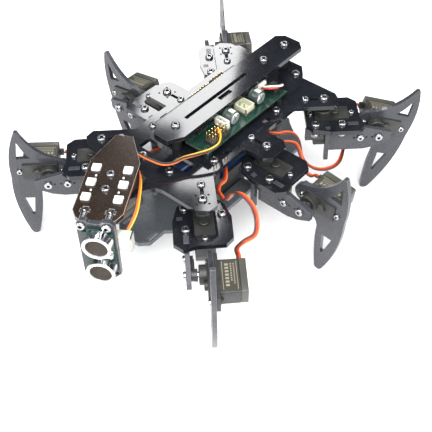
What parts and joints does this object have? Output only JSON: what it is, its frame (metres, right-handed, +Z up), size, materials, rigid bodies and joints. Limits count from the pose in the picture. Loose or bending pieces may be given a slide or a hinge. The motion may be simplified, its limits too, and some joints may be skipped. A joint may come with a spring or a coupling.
{
  "type": "hexapod walking robot",
  "caption": "Six-legged walking robot with laser-cut plates, servo-driven hips and claws, a stacked frame with control board, and a panning head with a distance sensor.",
  "frame": {"origin": "centre of the bounding box at floor level, in the stored pose, with the lowest foot at Z = 0", "axes": "+X to the front (the head's side), +Y to the robot's left, +Z up"},
  "size_m": [0.2478, 0.2082, 0.1028],
  "materials": {
    "black_acrylic": "polished sheet with pale laser-cut edges, light scratches",
    "brown_black_acrylic": "polished sheet with pale laser-cut edges",
    "grey_acrylic": "satin sheet with laser-cut edges",
    "black_standoff": "black satin",
    "steel": "nickel-plated pan heads",
    "black_horn": "moulded nylon",
    "circuit_board": "solder mask, semi-gloss",
    "connector": "moulded, semi-gloss",
    "battery_case": "moulded",
    "servo_case": "moulded, fine grain",
    "lead": "PVC insulation",
    "led_white": "glossy package",
    "can_aluminium": "turned, bright rim"
  },
  "bodies": {
    "chassis": {"upper_frame_plate": "black_acrylic", "lower_frame_plate": "black_acrylic", "cover_plate": "black_acrylic", "frame_standoffs": "black_standoff", "frame_screws": "steel", "hip_horns": "black_horn", "control_board": "circuit_board", "board_parts": "connector", "battery_pack": "battery_case", "head_servo": "servo_case", "lead_harness": "lead"},
    "head": {"head_horn": "steel", "head_plate": "brown_black_acrylic", "head_leds": "led_white", "sensor_plate": "grey_acrylic", "sensor_board": "circuit_board", "sensor_lead": "lead", "transducers": "can_aluminium"},
    "coxa_front_right": {"coxa_plate_front_right": "black_acrylic", "leg_plate_front_right": "grey_acrylic", "hip_servo_front_right": "servo_case", "claw_horn_front_right": "steel", "servo_lead_front_right": "lead"},
    "claw_front_right": {"claw_front_right": "grey_acrylic", "claw_servo_front_right": "servo_case"},
    "coxa_middle_right": {"coxa_plate_middle_right": "black_acrylic", "leg_plate_middle_right": "grey_acrylic", "hip_servo_middle_right": "servo_case", "claw_horn_middle_right": "steel", "servo_lead_middle_right": "lead"},
    "claw_middle_right": {"claw_middle_right": "grey_acrylic", "claw_servo_middle_right": "servo_case"},
    "coxa_rear_right": {"coxa_plate_rear_right": "black_acrylic", "leg_plate_rear_right": "grey_acrylic", "hip_servo_rear_right": "servo_case", "claw_horn_rear_right": "steel", "servo_lead_rear_right": "lead"},
    "claw_rear_right": {"claw_rear_right": "grey_acrylic", "claw_servo_rear_right": "servo_case"},
    "coxa_front_left": {"coxa_plate_front_left": "black_acrylic", "leg_plate_front_left": "grey_acrylic", "hip_servo_front_left": "servo_case", "claw_horn_front_left": "steel", "servo_lead_front_left": "lead"},
    "claw_front_left": {"claw_front_left": "grey_acrylic", "claw_servo_front_left": "servo_case"},
    "coxa_middle_left": {"coxa_plate_middle_left": "black_acrylic", "leg_plate_middle_left": "grey_acrylic", "hip_servo_middle_left": "servo_case", "claw_horn_middle_left": "steel", "servo_lead_middle_left": "lead"},
    "claw_middle_left": {"claw_middle_left": "grey_acrylic", "claw_servo_middle_left": "servo_case"},
    "coxa_rear_left": {"coxa_plate_rear_left": "black_acrylic", "leg_plate_rear_left": "grey_acrylic", "hip_servo_rear_left": "servo_case", "claw_horn_rear_left": "steel", "servo_lead_rear_left": "lead"},
    "claw_rear_left": {"claw_rear_left": "grey_acrylic", "claw_servo_rear_left": "servo_case"}
  },
  "joints": [
    {"name": "head_pan", "type": "hinge", "parent": "chassis", "child": "head", "pos_m": [0.08023, 0.00048, 0.09717], "axis": [0, 0, 1], "range_deg": [-91.5, 28.5], "deforming": ["sensor_lead"]},
    {"name": "hip_yaw_front_right", "type": "hinge", "parent": "chassis", "child": "coxa_front_right", "pos_m": [0.04973, -0.04132, 0.06867], "axis": [0, 0, 1], "range_deg": [-30.4, 29.6], "deforming": ["servo_lead_front_right"]},
    {"name": "claw_pitch_front_right", "type": "hinge", "parent": "coxa_front_right", "child": "claw_front_right", "pos_m": [0.08112, -0.06104, 0.05907], "axis": [-0.7022, -0.712, 0], "range_deg": [-59.8, 55.2]},
    {"name": "hip_yaw_middle_right", "type": "hinge", "parent": "chassis", "child": "coxa_middle_right", "pos_m": [-0.01027, -0.04132, 0.06867], "axis": [0, 0, 1], "range_deg": [-23.5, 26.5], "deforming": ["servo_lead_middle_right"]},
    {"name": "claw_pitch_middle_right", "type": "hinge", "parent": "coxa_middle_right", "child": "claw_middle_right", "pos_m": [-0.00322, -0.07772, 0.05907], "axis": [-0.9997, 0.0262, 0], "range_deg": [-44.7, 70.3]},
    {"name": "hip_yaw_rear_right", "type": "hinge", "parent": "chassis", "child": "coxa_rear_right", "pos_m": [-0.07027, -0.04132, 0.06867], "axis": [0, 0, 1], "range_deg": [-30, 30], "deforming": ["servo_lead_rear_right"]},
    {"name": "claw_pitch_rear_right", "type": "hinge", "parent": "coxa_rear_right", "child": "claw_rear_right", "pos_m": [-0.09021, -0.07257, 0.05907], "axis": [-0.7071, 0.7071, 0], "range_deg": [-45, 70]},
    {"name": "hip_yaw_front_left", "type": "hinge", "parent": "chassis", "child": "coxa_front_left", "pos_m": [0.04973, 0.04228, 0.06867], "axis": [0, 0, 1], "range_deg": [-29.7, 30.3], "deforming": ["servo_lead_front_left"]},
    {"name": "claw_pitch_front_left", "type": "hinge", "parent": "coxa_front_left", "child": "claw_front_left", "pos_m": [0.08109, 0.06206, 0.05907], "axis": [0.7034, -0.7108, 0], "range_deg": [-50, 65]},
    {"name": "hip_yaw_middle_left", "type": "hinge", "parent": "chassis", "child": "coxa_middle_left", "pos_m": [-0.01027, 0.04228, 0.06867], "axis": [0, 0, 1], "range_deg": [-24.4, 25.6], "deforming": ["servo_lead_middle_left"]},
    {"name": "claw_pitch_middle_left", "type": "hinge", "parent": "coxa_middle_left", "child": "claw_middle_left", "pos_m": [-0.00189, 0.07839, 0.05907], "axis": [0.9999, -0.0105, 0], "range_deg": [-50.2, 64.8]},
    {"name": "hip_yaw_rear_left", "type": "hinge", "parent": "chassis", "child": "coxa_rear_left", "pos_m": [-0.07027, 0.04228, 0.06867], "axis": [0, 0, 1], "range_deg": [-28.3, 31.7], "deforming": ["servo_lead_rear_left"]},
    {"name": "claw_pitch_rear_left", "type": "hinge", "parent": "coxa_rear_left", "child": "claw_rear_left", "pos_m": [-0.08927, 0.07411, 0.05907], "axis": [0.7278, 0.6858, 0], "range_deg": [-40, 75]}
  ]
}
